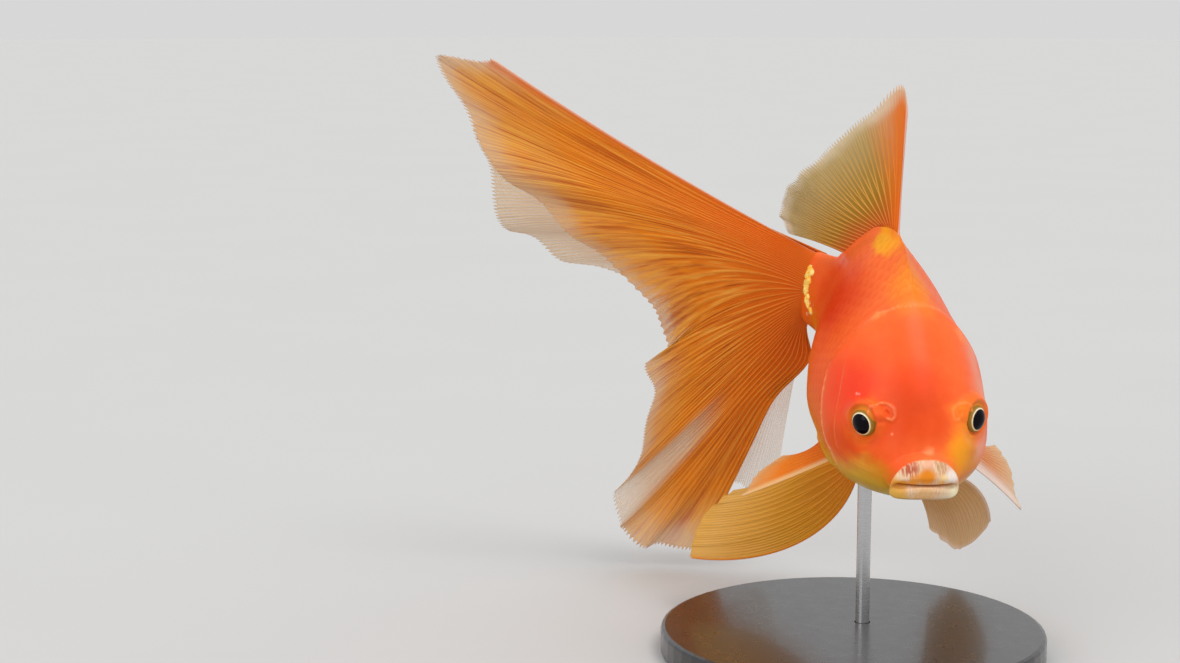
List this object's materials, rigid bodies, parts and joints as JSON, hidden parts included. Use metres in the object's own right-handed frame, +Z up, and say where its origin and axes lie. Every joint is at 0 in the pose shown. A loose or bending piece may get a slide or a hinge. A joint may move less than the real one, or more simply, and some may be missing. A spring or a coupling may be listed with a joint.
{
  "type": "goldfish model",
  "caption": "Life-size still model of a long-finned fancy goldfish swimming nose down with its body bent and its double tail spread, on a round stand with a steel rod.",
  "frame": {"origin": "centre of the stand base's flat underside", "axes": "+Z up from the base, the fish's head toward -Y, its left side toward +X and its tail swept toward -X"},
  "size_m": [0.1695, 0.1627, 0.171],
  "materials": {
    "scarlet_skin": "wet scaled skin",
    "golden_skin": "wet gill cover",
    "pale_lip": "soft wet lip",
    "dark_eye": "polished eye",
    "orange_fin": "translucent rayed fin",
    "black_lacquer": "satin black lacquer",
    "brushed_steel": "brushed"
  },
  "bodies": {
    "root": {"head": "scarlet_skin", "trunk": "scarlet_skin", "peduncle": "scarlet_skin", "operculum_left": "golden_skin", "operculum_right": "golden_skin", "upper_jaw": "pale_lip", "lower_jaw": "pale_lip", "eye_left": "dark_eye", "eye_right": "dark_eye", "dorsal_fin": "orange_fin", "pectoral_fin_left": "orange_fin", "pectoral_fin_right": "orange_fin", "pelvic_fin_left": "orange_fin", "pelvic_fin_right": "orange_fin", "anal_fin_left": "orange_fin", "anal_fin_right": "orange_fin", "tail_upper_left": "orange_fin", "tail_upper_right": "orange_fin", "tail_lower_left": "orange_fin", "tail_lower_right": "orange_fin", "stand_base": "black_lacquer", "stand_rod": "brushed_steel"}
  },
  "joints": []
}
